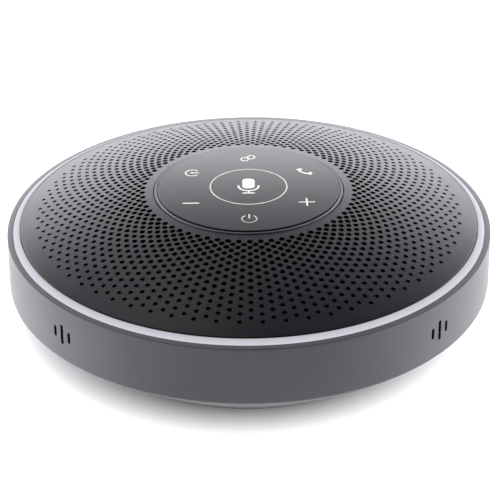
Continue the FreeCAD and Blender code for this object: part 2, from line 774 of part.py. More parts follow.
# ---------------------------------------------------------------- writing the pieces
def all_nodes():
    icons = panel_icons()
    makers = [base_cover, foot_ring, base_screws, side_housing, inner_frame, frame_screws, light_board,
              light_leds, light_ring, grille, dust_mesh, panel_trim, light_baffle, touch_board, touch_leds,
              panel_carrier, carrier_screws, panel_flex, speaker_gasket, speaker_basket, speaker_top_plate,
              speaker_magnet, speaker_yoke, speaker_surround, speaker_cone, speaker_dust_cap,
              voice_coil_former, voice_coil, speaker_spider, speaker_screws, speaker_terminals, speaker_wires,
              main_board, board_screws, shield_can, board_chips, flex_connector, speaker_connector,
              battery_connector, usb_receptacle, usb_tongue, battery_pack, battery_circuit, battery_foam,
              battery_wires]
    nodes = {maker.__name__: maker() for maker in makers}
    nodes["panel_icons"] = icons
    nodes["touch_panel"] = touch_panel(icons)
    for place, angle in MIC_ANGLES.items():
        nodes["mic_gasket_" + place] = mic_gasket(angle)
        nodes["mic_board_" + place] = mic_board(angle)
        nodes["mic_capsule_" + place] = mic_capsule(angle)
    return nodes


def main():
    os.makedirs("parts", exist_ok=True)
    nodes = all_nodes()
    for name, shape in sorted(nodes.items()):
        shape.exportStep("parts/" + name + ".step")
        print(name, len(shape.Solids), "solids", round(shape.Volume, 1), "mm3", shape.isValid())
    print(len(nodes), "nodes")


main()
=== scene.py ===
import json
import math

import bmesh
import bpy
from mathutils import Matrix, Vector


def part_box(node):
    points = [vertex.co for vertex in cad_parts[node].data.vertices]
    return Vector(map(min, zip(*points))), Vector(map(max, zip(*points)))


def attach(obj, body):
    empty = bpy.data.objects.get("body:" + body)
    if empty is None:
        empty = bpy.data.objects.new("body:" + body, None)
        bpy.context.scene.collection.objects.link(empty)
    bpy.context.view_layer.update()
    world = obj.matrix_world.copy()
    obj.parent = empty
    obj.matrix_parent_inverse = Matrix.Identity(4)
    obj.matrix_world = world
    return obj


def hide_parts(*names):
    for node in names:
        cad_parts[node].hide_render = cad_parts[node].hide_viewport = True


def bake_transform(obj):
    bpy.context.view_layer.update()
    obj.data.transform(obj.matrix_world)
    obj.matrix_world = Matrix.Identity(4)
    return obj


# The looks of a round conference speakerphone, built around its CAD frame.
# Metres, +Z up, the middle of the footprint at the origin, -Y the front.

MM = 0.001
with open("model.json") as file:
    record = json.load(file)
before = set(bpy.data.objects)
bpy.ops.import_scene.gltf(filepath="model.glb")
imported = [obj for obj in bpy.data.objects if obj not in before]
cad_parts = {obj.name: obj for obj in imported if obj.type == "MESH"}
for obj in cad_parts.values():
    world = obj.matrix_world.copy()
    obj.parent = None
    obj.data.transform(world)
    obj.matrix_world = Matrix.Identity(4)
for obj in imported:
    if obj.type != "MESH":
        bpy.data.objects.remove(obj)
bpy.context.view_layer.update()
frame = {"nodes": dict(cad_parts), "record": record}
NODES = frame["nodes"]

# ---------------------------------------------------------------- sizes taken from the frame
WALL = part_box("side_housing")
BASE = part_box("base_cover")
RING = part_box("light_ring")
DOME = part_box("grille")
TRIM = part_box("panel_trim")
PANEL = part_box("touch_panel")
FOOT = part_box("foot_ring")
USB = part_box("usb_receptacle")
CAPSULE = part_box("mic_capsule_front_left")
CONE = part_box("speaker_cone")
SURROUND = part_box("speaker_surround")
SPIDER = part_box("speaker_spider")
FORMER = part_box("voice_coil_former")

WALL_R = WALL[1].x
WALL_TOP_R = WALL_R - 0.7 * MM
LIP_R = RING[1].x - 0.14 * MM
LIP_Z = WALL[1].z
SEAM_Z = WALL[0].z
SEAM_R = BASE[1].x
WALL_LOW_Z = SEAM_Z + 0.65 * MM
WALL_TOP_Z = LIP_Z - 0.19 * MM
RING_IN_R = DOME[1].x + 0.13 * MM
RING_TOP_Z = RING[1].z
DOME_R = DOME[1].x
DOME_LOW_Z = DOME[0].z
DOME_TOP_Z = DOME[1].z
FOOT_R = FOOT[1].x
FOOT_TOP_Z = FOOT[1].z
MIC_Z = 0.5 * (CAPSULE[0].z + CAPSULE[1].z) + 0.18 * MM

# Grille: a cap of one large sphere with staggered rings of holes.
SPHERE_R = 222 * MM
DOME_IN_R = 24.6 * MM
DOME_CENTRE_Z = DOME_TOP_Z - math.sqrt(SPHERE_R ** 2 - DOME_IN_R ** 2)
GRILLE_THICK = 0.5 * MM
HOLE_RINGS = 24
HOLES_PER_RING = 66
FIRST_RING_R = 27.40 * MM
RING_PITCH = 1.174 * MM
FIRST_HOLE_D = 1.47 * MM
LAST_HOLE_D = 1.06 * MM
HOLE_SIDES = 16
ZIGZAG = 0.21

# Microphone slits, the pads in them, black as painted shade of the deep slits, and the inner end of every cut
# through the wall.
SLIT_WIDTH = 0.98 * MM
SLIT_PITCH = 2.48 * MM
SLIT_LENGTHS = (2.9 * MM, 5.2 * MM, 2.9 * MM)
PAD_DEPTH = 0.15 * MM
PAD_GAP = 0.01 * MM
CUT_LOW_R = 57 * MM
CUT_MOUTH_R = WALL_R - 0.05 * MM
MIC_ANGLES = {"front_right": -45.6, "rear_right": 45.6, "rear_left": 134.4, "front_left": 225.6}

# Steps round a full turn, and the wedges of the loudspeaker's soft rings with the steps in each.
ROUND_STEPS = 360
FLEX_WEDGES = 24
FLEX_STEPS = 8

# The symbols go from dim to bright between these two distances behind the middle.
ICON_FADE_Y = (-18.5 * MM, -15.0 * MM)

# Camera: distance and height in metres, angles in degrees.
CAMERA_AWAY = 273.0 * MM
CAMERA_HEIGHT = 178.7 * MM
CAMERA_PITCH = 30.13
CAMERA_ORBIT = -0.4
CAMERA_ROLL = -0.45
CAMERA_SHIFT_X = 0.0019
CAMERA_LENS = 85.3
CAMERA_SENSOR = 36.0

# Sky: brightness as a share of SKY_STRENGTH at each elevation in degrees, faded towards the front.
SKY_STRENGTH = 3.2
SKY_TINT = (1, 0.99, 1.035)
SKY_BANDS = ((0, 1.10), (24, 1.42), (25.5, 1.14), (27.1, 0.41), (29.2, 0.11), (33, 0.10), (44, 0.05), (56, 0.015),
             (90, 0.012))
FRONT_FADE = (-0.45, 0.55, 0.12, 1.0)

# Lights: the floor's own suns (name, place, angle across in degrees, strength), and the softboxes
# (name, place, size, watts, whether reflections show it).
FLOOR_R = 3.0
FLOOR_GLOWS = (("overhead_glow", (0, 0, 2), 120, 2.15), ("front_glow", (0.25, -1.5, 1.62), 26, 3.8))
SOFTBOX_TARGET = (0, 0, 0.02)
SOFTBOXES = (("left_softbox", (-0.80, 0.26, 0.17), (0.5, 0.34), 29.0, False),
             ("right_softbox", (0.80, 0.26, 0.17), (0.5, 0.34), 29.5, False),
             ("rear_left_glow", (-0.25, 0.45, 0.95), (0.3, 0.3), 0.42, True))


# ---------------------------------------------------------------- mesh helpers
def loose_object(name, mesh):
    """Object that doesn't ride on a body yet."""
    piece = bpy.data.objects.new(name, mesh)
    bpy.context.scene.collection.objects.link(piece)
    return piece


def new_object(name, mesh):
    """Object that rides on the housing."""
    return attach(loose_object(name, mesh), "housing")


def smooth_mesh(mesh, sharp_degrees=32):
    for polygon in mesh.polygons:
        polygon.use_smooth = True
    mesh.set_sharp_from_angle(angle=math.radians(sharp_degrees))


def to_mesh(name, bm):
    mesh = bpy.data.meshes.new(name)
    bm.to_mesh(mesh)
    bm.free()
    return mesh


def bridge(bm, loops):
    """Faces between neighbouring loops of as many vertices each."""
    for here, there in zip(loops, loops[1:]):
        for index in range(len(here)):
            bm.faces.new((here[index - 1], here[index], there[index], there[index - 1]))


def turned(outline, angle):
    """Points of a (r, z) outline turned about Z by an angle in radians."""
    return [(r * math.cos(angle), r * math.sin(angle), z) for r, z in outline]


def rounded(outline, radii, steps=5):
    """Closed (r, z) outline with its corners rounded: radii holds one radius for each corner."""
    result = []
    count = len(outline)
    for index, corner in enumerate(outline):
        radius = radii[index]
        here = Vector(corner)
        before = Vector(outline[index - 1]) - here
        after = Vector(outline[(index + 1) % count]) - here
        if radius <= 0:
            result.append(here)
            continue
        half = before.angle(after) / 2
        reach = min(radius / math.tan(half), 0.45 * before.length, 0.45 * after.length)
        start = here + before.normalized() * reach
        end = here + after.normalized() * reach
        for step in range(steps + 1):
            t = step / steps
            result.append(start * (1 - t) ** 2 + here * 2 * t * (1 - t) + end * t ** 2)
    return result


def lathe(name, outline, steps=ROUND_STEPS):
    """Mesh turned about Z from a closed (r, z) outline."""
    bm = bmesh.new()
    rings = []
    for step in range(steps):
        rings.append([bm.verts.new(point) for point in turned(outline, 2 * math.pi * step / steps)])
    bridge(bm, rings + rings[:1])
    bmesh.ops.remove_doubles(bm, verts=bm.verts, dist=1e-7)
    bmesh.ops.recalc_face_normals(bm, faces=bm.faces)
    mesh = to_mesh(name, bm)
    smooth_mesh(mesh)
    return mesh


def wedge(name, outline, first, last, steps):
    """Closed mesh of a (r, z) outline turned about Z from one angle to another, in radians."""
    mesh = loft(name, [turned(outline, first + (last - first) * step / steps) for step in range(steps + 1)])
    smooth_mesh(mesh)
    return mesh


def arch(start, end, z, rise, steps=8):
    """Points of an arc from (start, z) to (end, z), without the last. It dips where rise is negative."""
    half = 0.5 * (end - start)
    radius = (half ** 2 + rise ** 2) / (2 * abs(rise))
    reach = math.asin(min(1.0, abs(half) / radius))
    points = []
    for step in range(steps):
        angle = reach * (2 * step / steps - 1)
        along = start + half + math.copysign(radius * math.sin(angle), half * angle)
        points.append((along, z + math.copysign(abs(rise) - radius * (1 - math.cos(angle)), rise)))
    return points


def loft(name, sections):
    """Closed mesh through equal-length loops of points, capped at both ends."""
    bm = bmesh.new()
    loops = [[bm.verts.new(point) for point in section] for section in sections]
    bridge(bm, loops)
    bm.faces.new(loops[0])
    bm.faces.new(reversed(loops[-1]))
    bmesh.ops.recalc_face_normals(bm, faces=bm.faces)
    return to_mesh(name, bm)


def stadium(half_width, half_height, corner, steps=8):
    """Points round an upright or lying rounded rectangle in its own plane."""
    points = []
    for quarter, (sx, sy) in enumerate(((1, 1), (-1, 1), (-1, -1), (1, -1))):
        for step in range(steps + 1):
            angle = math.pi / 2 * (quarter + step / steps)
            x = sx * (half_width - corner) + corner * math.cos(angle)
            y = sy * (half_height - corner) + corner * math.sin(angle)
            points.append((x, y))
    return points


def wall_cutter(name, angle, side, half_width, half_height, corner, flare, z):
    """Rounded slot through the wall along the direction of angle, flared at its mouth."""
    turn = Matrix.Rotation(math.radians(angle), 4, "Z")
    sections = []
    for radius, grow in ((CUT_LOW_R, 0), (CUT_MOUTH_R - flare, 0), (CUT_MOUTH_R + flare, 2 * flare)):
        loop = stadium(half_width + grow, half_height + grow, corner + grow)
        sections.append([turn @ Vector((radius, side + x, z + y)) for x, y in loop])
    return loft(name, sections)


def cut_away(piece, cutters):
    """Takes the cutters' meshes out of the piece and applies the result."""
    for mesh in cutters:
        tool = loose_object(mesh.name, mesh)
        step = piece.modifiers.new("cut", "BOOLEAN")
        step.operation = "DIFFERENCE"
        step.solver = "EXACT"
        step.object = tool
        bpy.context.view_layer.update()
        graph = bpy.context.evaluated_depsgraph_get()
        result = bpy.data.meshes.new_from_object(piece.evaluated_get(graph))
        piece.modifiers.clear()
        piece.data = result
        bpy.data.objects.remove(tool)


def join_meshes(name, meshes):
    bm = bmesh.new()
    for part in meshes:
        bm.from_mesh(part)
    return to_mesh(name, bm)


# ---------------------------------------------------------------- node materials
class Paint:
    """One procedural material, with short calls for the nodes that it is made of."""

    def __init__(self, name, **sockets):
        self.material = bpy.data.materials.new(name)
        self.material.use_nodes = True
        self.tree = self.material.node_tree
        self.shader = self.tree.nodes["Principled BSDF"]
        self.place = self.tree.nodes.new("ShaderNodeTexCoord").outputs["Object"]
        for socket, value in sockets.items():
            self.shader.inputs[socket.replace("_", " ")].default_value = value

    def node(self, kind, **settings):
        made = self.tree.nodes.new(kind)
        for key, value in settings.items():
            setattr(made, key, value)
        return made

    def link(self, source, target):
        self.tree.links.new(source, target)

    def noise(self, scale, detail=3.0, rough=0.55, source=None):
        made = self.node("ShaderNodeTexNoise")
        made.inputs["Scale"].default_value = scale
        made.inputs["Detail"].default_value = detail
        made.inputs["Roughness"].default_value = rough
        self.link(source or self.place, made.inputs["Vector"])
        return made.outputs["Fac"]

    def cells(self, scale, feature="F1"):
        made = self.node("ShaderNodeTexVoronoi", feature=feature)
        made.inputs["Scale"].default_value = scale
        self.link(self.place, made.inputs["Vector"])
        return made.outputs["Distance"]

    def ramp(self, source, stops):
        made = self.node("ShaderNodeValToRGB")
        elements = made.color_ramp.elements
        while len(elements) < len(stops):
            elements.new(0.5)
        for element, (position, colour) in zip(elements, stops):
            element.position = position
            element.color = (*colour, 1)
        self.link(source, made.inputs["Fac"])
        return made.outputs["Color"]

    def distance_from_axis(self):
        """Distance of the shaded point from the object's upright axis."""
        flat = self.node("ShaderNodeVectorMath", operation="MULTIPLY")
        flat.inputs[1].default_value = (1, 1, 0)
        self.link(self.place, flat.inputs[0])
        length = self.node("ShaderNodeVectorMath", operation="LENGTH")
        self.link(flat.outputs["Vector"], length.inputs[0])
        return length.outputs["Value"]

    def towards_back(self):
        """Distance of the shaded point behind the object's middle."""
        split = self.node("ShaderNodeSeparateXYZ")
        self.link(self.place, split.inputs["Vector"])
        return split.outputs["Y"]

    def spread(self, source, low, high, first=0.0, last=1.0):
        """A number between first and last turned into one between low and high."""
        made = self.node("ShaderNodeMapRange")
        made.inputs["From Min"].default_value = first
        made.inputs["From Max"].default_value = last
        made.inputs["To Min"].default_value = low
        made.inputs["To Max"].default_value = high
        self.link(source, made.inputs["Value"])
        return made.outputs["Result"]

    def bump(self, height, distance, strength=1.0):
        made = self.node("ShaderNodeBump")
        made.inputs["Strength"].default_value = strength
        made.inputs["Distance"].default_value = distance
        self.link(height, made.inputs["Height"])
        return made.outputs["Normal"]

    def set(self, socket, source):
        self.link(source, self.shader.inputs[socket])


def shades(colour, spread):
    """Two nearby shades of a colour for a ramp."""
    return [(0.3, [c * (1 - spread) for c in colour]), (0.7, [c * (1 + spread) for c in colour])]


def grained(name, colour, rough, grain, depth, mottling=0.06, **sockets):
    """Surface with a fine random grain, slightly uneven in colour and sheen."""
    paint = Paint(name, **sockets)
    paint.set("Base Color", paint.ramp(paint.noise(60.0), shades(colour, mottling)))
    paint.set("Roughness", paint.spread(paint.noise(220.0), rough - 0.04, rough + 0.04))
    paint.set("Normal", paint.bump(paint.noise(grain, 2.0), depth))
    return paint.material


def housing_plastic():
    return grained("housing_plastic", (0.064, 0.063, 0.071), 0.38, 5200.0, 0.010 * MM,
                   Specular_IOR_Level=0.3)


def grille_paint():
    """Satin powder coat of the dome."""
    paint = Paint("grille_paint")
    paint.set("Base Color", paint.ramp(paint.noise(60.0), shades((0.005, 0.0047, 0.0075), 0.05)))
    paint.set("Roughness", paint.spread(paint.noise(220.0), 0.35, 0.41))
    paint.set("Normal", paint.bump(paint.noise(6400.0, 2.0), 0.008 * MM))
    return paint.material


def painted_bore_shade():
    """Painted shade for the inside of the dome's holes and of the slits: matt and near black, standing in for the
    shade deep inside them.
    """
    paint = Paint("painted_bore_shade", Specular_IOR_Level=0.02)
    paint.set("Base Color", paint.ramp(paint.noise(3000.0), shades((0.001, 0.001, 0.001), 0.3)))
    paint.set("Roughness", paint.spread(paint.noise(900.0), 0.85, 1.0))
    return paint.material


def trim_metal():
    """Dark satin ring, half plated."""
    paint = Paint("trim_metal", Metallic=0.4)
    paint.set("Base Color", paint.ramp(paint.noise(90.0), shades((0.075, 0.075, 0.090), 0.05)))
    paint.set("Roughness", paint.spread(paint.noise(900.0), 0.26, 0.34))
    paint.set("Normal", paint.bump(paint.noise(7000.0, 1.0), 0.003 * MM))
    return paint.material


def panel_gloss():
    """Dark polished cover with a faint ripple."""
    paint = Paint("panel_gloss")
    paint.set("Base Color", paint.ramp(paint.noise(40.0), shades((0.010, 0.0125, 0.0135), 0.03)))
    paint.set("Roughness", paint.spread(paint.noise(160.0), 0.09, 0.12))
    paint.set("Normal", paint.bump(paint.noise(9000.0, 1.0), 0.0003 * MM))
    return paint.material


def icon_white():
    """Backlit white inlay, a little dimmer at the front."""
    paint = Paint("icon_white")
    lit = paint.spread(paint.towards_back(), 0.0, 1.0, *ICON_FADE_Y)
    paint.set("Base Color", paint.ramp(lit, [(0.0, (0.25, 0.25, 0.26)), (1.0, (0.53, 0.525, 0.50))]))
    paint.set("Roughness", paint.spread(paint.noise(300.0), 0.35, 0.42))
    return paint.material


def light_diffuser():
    """White ring that is nearly all its own light: the glow is painted light standing in for the light the white
    ring catches, dimmer near the dome's edge as painted shade, so brighter towards its outer edge.
    """
    paint = Paint("light_diffuser", Subsurface_Weight=0.25, Subsurface_Scale=1.5 * MM, Specular_IOR_Level=0.1,
                  Emission_Strength=1.0)
    # The glow colour is painted light, darkest at the inner edge as painted shade under the dome's edge.
    across = paint.spread(paint.distance_from_axis(), 0.0, 1.0, RING_IN_R, LIP_R)
    paint.set("Emission Color", paint.ramp(across, [(0.0, (0.34, 0.35, 0.38)), (0.2, (0.50, 0.51, 0.56)),
                                                    (0.8, (0.59, 0.60, 0.655)), (1.0, (0.63, 0.64, 0.69))]))
    paint.set("Base Color", paint.ramp(paint.noise(120.0), shades((0.030, 0.031, 0.035), 0.015)))
    paint.set("Roughness", paint.spread(paint.noise(700.0), 0.50, 0.58))
    paint.set("Normal", paint.bump(paint.noise(5200.0, 1.0), 0.004 * MM))
    return paint.material


def foot_rubber():
    return grained("foot_rubber", (0.020, 0.020, 0.021), 0.72, 2600.0, 0.03 * MM, 0.12)


def dust_mesh():
    """Woven nylon: fine square threads, nearly black."""
    paint = Paint("dust_mesh", Specular_IOR_Level=0.1)
    threads = []
    for axis in ("X", "Y"):
        wave = paint.node("ShaderNodeTexWave", bands_direction=axis)
        wave.inputs["Scale"].default_value = 900.0
        paint.link(paint.place, wave.inputs["Vector"])
        threads.append(wave.outputs["Fac"])
    weave = paint.node("ShaderNodeMath", operation="MAXIMUM")
    paint.link(threads[0], weave.inputs[0])
    paint.link(threads[1], weave.inputs[1])
    paint.set("Base Color", paint.ramp(weave.outputs[0], [(0.2, (0.001, 0.001, 0.001)),
                                                          (0.9, (0.005, 0.005, 0.0055))]))
    paint.set("Roughness", paint.spread(paint.noise(300.0), 0.85, 0.95))
    paint.set("Normal", paint.bump(weave.outputs[0], 0.03 * MM))
    return paint.material


def brushed(name, colour, rough):
    """Plated metal with fine straight brush lines and faint stains."""
    paint = Paint(name, Metallic=1.0)
    stretch = paint.node("ShaderNodeMapping")
    stretch.inputs["Scale"].default_value = (1.0, 22.0, 6.0)
    paint.link(paint.place, stretch.inputs["Vector"])
    lines = paint.noise(300.0, 3.0, 0.6, stretch.outputs["Vector"])
    paint.set("Base Color", paint.ramp(paint.noise(150.0), shades(colour, 0.08)))
    paint.set("Roughness", paint.spread(lines, rough - 0.08, rough + 0.1))
    paint.set("Normal", paint.bump(lines, 0.01 * MM))
    return paint.material


def circuit_board():
    """Green solder mask over faint copper tracks."""
    paint = Paint("circuit_board", Coat_Weight=0.4, Coat_Roughness=0.2)
    tracks = paint.cells(420.0, "DISTANCE_TO_EDGE")
    paint.set("Base Color", paint.ramp(tracks, [(0.03, (0.03, 0.20, 0.09)), (0.10, (0.012, 0.10, 0.045))]))
    paint.set("Roughness", paint.spread(paint.noise(200.0), 0.35, 0.45))
    paint.set("Normal", paint.bump(tracks, 0.02 * MM, 0.5))
    return paint.material


def speckled(name, colour, rough, scale, metallic=0.0):
    """Pressed or sintered material with a speckle of lighter grains."""
    paint = Paint(name, Metallic=metallic)
    cells = paint.cells(scale)
    paint.set("Base Color", paint.ramp(cells, shades(colour, 0.2)))
    paint.set("Roughness", paint.spread(paint.noise(400.0), rough - 0.06, rough + 0.06))
    paint.set("Normal", paint.bump(cells, 0.02 * MM))
    return paint.material


def wound_copper():
    """Fine level turns of enamelled wire."""
    paint = Paint("wound_copper", Metallic=0.9)
    wave = paint.node("ShaderNodeTexWave", bands_direction="Z")
    wave.inputs["Scale"].default_value = 1400.0
    paint.link(paint.place, wave.inputs["Vector"])
    turns = wave.outputs["Fac"]
    paint.set("Base Color", paint.ramp(turns, [(0.0, (0.30, 0.10, 0.04)), (0.8, (0.72, 0.32, 0.14))]))
    paint.set("Roughness", paint.spread(paint.noise(500.0), 0.28, 0.38))
    paint.set("Normal", paint.bump(turns, 0.05 * MM))
    return paint.material


def slot_materials():
    """A material for each of the record's slots."""
    return {
        "housing_plastic": housing_plastic(), "grille_metal": grille_paint(), "trim_metal": trim_metal(),
        "panel_gloss": panel_gloss(), "icon_white": icon_white(), "light_diffuser": light_diffuser(),
        "foot_rubber": foot_rubber(), "dust_mesh": dust_mesh(),
        "frame_plastic": grained("frame_plastic", (0.022, 0.022, 0.023), 0.5, 4200.0, 0.015 * MM),
        "screw_steel": brushed("screw_steel", (0.55, 0.55, 0.56), 0.32), "board_green": circuit_board(),
        "led_white": grained("led_white", (0.80, 0.76, 0.52), 0.3, 3000.0, 0.01 * MM),
        "chip_black": speckled("chip_black", (0.02, 0.02, 0.022), 0.5, 5000.0),
        "shield_steel": brushed("shield_steel", (0.68, 0.68, 0.70), 0.25),
        "connector_white": grained("connector_white", (0.72, 0.69, 0.58), 0.4, 3600.0, 0.01 * MM),
        "flex_amber": grained("flex_amber", (0.42, 0.18, 0.03), 0.28, 1500.0, 0.01 * MM, 0.15),
        "basket_metal": grained("basket_metal", (0.020, 0.020, 0.020), 0.38, 2800.0, 0.02 * MM),
        "plate_steel": brushed("plate_steel", (0.52, 0.52, 0.50), 0.35),
        "magnet_grey": speckled("magnet_grey", (0.07, 0.07, 0.075), 0.6, 3000.0),
        "cone_paper": speckled("cone_paper", (0.035, 0.035, 0.036), 0.85, 2200.0),
        "surround_rubber": grained("surround_rubber", (0.015, 0.015, 0.015), 0.6, 2000.0, 0.02 * MM),
        "spider_cloth": speckled("spider_cloth", (0.40, 0.27, 0.08), 0.8, 2600.0),
        "former_foil": brushed("former_foil", (0.72, 0.60, 0.38), 0.3), "coil_copper": wound_copper(),
        "gasket_foam": speckled("gasket_foam", (0.03, 0.03, 0.03), 0.95, 3800.0),
        "battery_wrap": grained("battery_wrap", (0.03, 0.12, 0.38), 0.3, 700.0, 0.05 * MM, 0.1),
        "wire_insulation": grained("wire_insulation", (0.35, 0.02, 0.02), 0.45, 1800.0, 0.01 * MM),
        "gasket_rubber": grained("gasket_rubber", (0.03, 0.03, 0.03), 0.7, 2600.0, 0.02 * MM),
    }


MATERIALS = slot_materials()
BORE_SHADE_PAINT = painted_bore_shade()
NODE_SLOT = {part["node"]: part["material_slot"] for part in frame["record"]["subparts"]}


def dress_cad_nodes():
    """Every CAD node gets the material of its slot."""
    for name, node in NODES.items():
        node.data.materials.clear()
        node.data.materials.append(MATERIALS[NODE_SLOT[name]])


def finish_piece(piece, node):
    """The piece stands for a CAD node and takes its slot's material."""
    piece.data.materials.clear()
    piece.data.materials.append(MATERIALS[NODE_SLOT[node]])
    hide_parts(node)
    return piece


# ---------------------------------------------------------------- the outer pieces
def dome_z(radius, drop=0.0):
    """Height of the dome, or of a surface parallel to it and lower by drop."""
    return DOME_CENTRE_Z + math.sqrt((SPHERE_R - drop) ** 2 - radius ** 2)


def slits():
    """Sideways place and length of each slit of one microphone."""
    return zip((-SLIT_PITCH, 0, SLIT_PITCH), SLIT_LENGTHS)


def screw_bosses():
    """Six upright bosses inside the wall, each with a web that joins it."""
    boss_z, boss_r, boss_corner = (19.4 * MM, 24.5 * MM), 54.9 * MM, 2.55 * MM
    web_z, web_r, web_half = (20.5 * MM, 24.4 * MM), (56 * MM, 60.6 * MM), 1.2 * MM
    bosses = []
    for step in range(6):
        turn = Matrix.Rotation(math.radians(60 * step), 4, "Z")
        loop = stadium(3.6 * MM, 2.6 * MM, boss_corner)
        sections = [[turn @ Vector((boss_r + x, y, z)) for x, y in loop] for z in boss_z]
        corners = ((web_r[0], -web_half), (web_r[1], -web_half), (web_r[1], web_half), (web_r[0], web_half))
        web = [[turn @ Vector((x, y, z)) for x, y in corners] for z in web_z]
        bosses += [loft("boss", sections), loft("web", web)]
    return bosses


def make_side_housing():
    """Wall with its lip, the ledge under the dome, the slits, the USB mouth and the bosses."""
    inner = WALL_R - 2.6 * MM
    rim_r = LIP_R + 0.08 * MM
    ledge_r, ledge_z = 57.2 * MM, 27.6 * MM
    tongue_r = SEAM_R - 1.5 * MM
    tongue_z = SEAM_Z + 1.7 * MM
    outline = [(tongue_r, SEAM_Z), (SEAM_R, SEAM_Z), (WALL_R, WALL_LOW_Z), (WALL_TOP_R, WALL_TOP_Z),
               (rim_r, LIP_Z), (rim_r, DOME_LOW_Z), (ledge_r, DOME_LOW_Z), (ledge_r, ledge_z),
               (inner, ledge_z), (inner, tongue_z), (tongue_r, tongue_z)]
    radii = [0, 0.15 * MM, 0.6 * MM, 0.22 * MM, 0.08 * MM, 0, 0, 0.2 * MM, 0.3 * MM, 0, 0]
    piece = new_object("side_housing_shell", lathe("side_housing_shell", rounded(outline, radii)))
    cutters = []
    half = SLIT_WIDTH / 2
    for angle in MIC_ANGLES.values():
        for side, length in slits():
            cutters.append(wall_cutter("slit", angle, side, half, length / 2, half * 0.98, 0.1 * MM, MIC_Z))
    usb_gap = 0.28 * MM
    middle = (USB[0].z + USB[1].z) / 2
    half_width = (USB[1].x - USB[0].x) / 2 + usb_gap
    half_height = (USB[1].z - USB[0].z) / 2 + usb_gap
    cutters.append(wall_cutter("usb_mouth", 90, 0, half_width, half_height, 1.3 * MM, 0.2 * MM, middle))
    cut_away(piece, cutters)
    piece.data = join_meshes("side_housing_shell", [piece.data] + screw_bosses())
    smooth_mesh(piece.data)
    return finish_piece(piece, "side_housing")


def wall_face(side, z):
    """How far out the tapered wall's surface is at a sideways distance and a height."""
    share = (z - WALL_LOW_Z) / (WALL_TOP_Z - WALL_LOW_Z)
    radius = WALL_R + (WALL_TOP_R - WALL_R) * share
    return math.sqrt(radius ** 2 - side ** 2)


def make_mic_meshes():
    """Pads in the three slits of each microphone, a little below the surface, black as painted shade of the deep
    slits. Their front follows the wall.
    """
    half = SLIT_WIDTH / 2 - PAD_GAP
    for place, angle in MIC_ANGLES.items():
        turn = Matrix.Rotation(math.radians(angle), 4, "Z")
        pads = []
        for side, length in slits():
            loop = [(side + x, MIC_Z + y) for x, y in stadium(half, length / 2 - PAD_GAP, half * 0.98)]
            back = [turn @ Vector((WALL_R - 2.5 * MM, x, z)) for x, z in loop]
            front = [turn @ Vector((wall_face(x, z) - PAD_DEPTH, x, z)) for x, z in loop]
            pads.append(loft("pad", [back, front]))
        piece = new_object("mic_mesh_" + place, join_meshes("mic_mesh_" + place, pads))
        # The pads stand for the woven mesh behind the slits. That slot's finish looks too light in the slits, so the
        # pads take the near black of the dome's holes, painted shade for the shade deep in the slits.
        piece.data.materials.append(BORE_SHADE_PAINT)


def make_base_cover():
    """Tapered underside with a groove for the foot ring and a rib that fits inside the wall."""
    low = BASE[0].z
    floor = low + 2 * MM
    inner_foot = FOOT_R - 6.4 * MM
    outer_foot = FOOT_R + 0.1 * MM
    seam_low = SEAM_Z - 0.05 * MM
    rib_out, rib_in, rib_z = SEAM_R - 1.6 * MM, SEAM_R - 2.9 * MM, SEAM_Z + 1.5 * MM
    axis_r = 0.01 * MM
    outline = [(axis_r, low), (inner_foot, low), (inner_foot, FOOT_TOP_Z), (outer_foot, FOOT_TOP_Z),
               (outer_foot, low), (43.6 * MM, low), (SEAM_R, seam_low), (rib_out, seam_low), (rib_out, rib_z),
               (rib_in, rib_z), (rib_in, SEAM_Z), (43.0 * MM, floor), (axis_r, floor)]
    radii = [0, 0.15 * MM, 0, 0, 0.15 * MM, 0.5 * MM, 0.2 * MM, 0, 0, 0, 0, 2 * MM, 0]
    piece = new_object("base_cover_shell", lathe("base_cover_shell", rounded(outline, radii)))
    return finish_piece(piece, "base_cover")


def make_foot_ring():
    """Rubber ring with four shallow grooves in its face."""
    inner = FOOT_R - 6.3 * MM
    pitch, mouth, bottom, depth = 1.26 * MM, 0.25 * MM, 0.12 * MM, 0.25 * MM
    grooves = []
    for step in range(1, 5):
        middle = inner + step * pitch
        grooves += [(middle - mouth, 0), (middle - bottom, depth), (middle + bottom, depth), (middle + mouth, 0)]
    outline = [(inner, 0)] + grooves + [(FOOT_R, 0), (FOOT_R, FOOT_TOP_Z), (inner, FOOT_TOP_Z)]
    radii = [0.35 * MM] + [0.08 * MM] * len(grooves) + [0.4 * MM, 0.1 * MM, 0.1 * MM]
    piece = new_object("foot_ring_pad", lathe("foot_ring_pad", rounded(outline, radii, 3), 240))
    return finish_piece(piece, "foot_ring")


def make_light_ring():
    """Diffuser between the dome's edge and the lip, with a flange under the dome."""
    foot = RING[0].z
    roof = foot + 0.6 * MM
    flange_r = 60.3 * MM
    outline = [(flange_r, foot), (LIP_R - 0.05 * MM, foot), (LIP_R - 0.02 * MM, LIP_Z + 0.02 * MM),
               (RING_IN_R, RING_TOP_Z), (RING_IN_R, roof), (flange_r, roof)]
    radii = [0, 0, 0.1 * MM, 0.12 * MM, 0, 0]
    piece = new_object("light_ring_diffuser", lathe("light_ring_diffuser", rounded(outline, radii)))
    return finish_piece(piece, "light_ring")


def make_panel_trim():
    """Thin ring round the panel, dished a little towards it, on a wider flange under the dome."""
    low = TRIM[0].z
    flange_z = low + 0.45 * MM
    inner = PANEL[1].x + 0.18 * MM
    neck = DOME_IN_R - 0.25 * MM
    outline = [(inner, low), (TRIM[1].x, low), (TRIM[1].x, flange_z), (neck, flange_z),
               (neck, TRIM[1].z), (inner, TRIM[1].z - 0.03 * MM)]
    radii = [0, 0, 0, 0, 0.06 * MM, 0.05 * MM]
    piece = new_object("panel_trim_ring", lathe("panel_trim_ring", rounded(outline, radii)))
    return finish_piece(piece, "panel_trim")


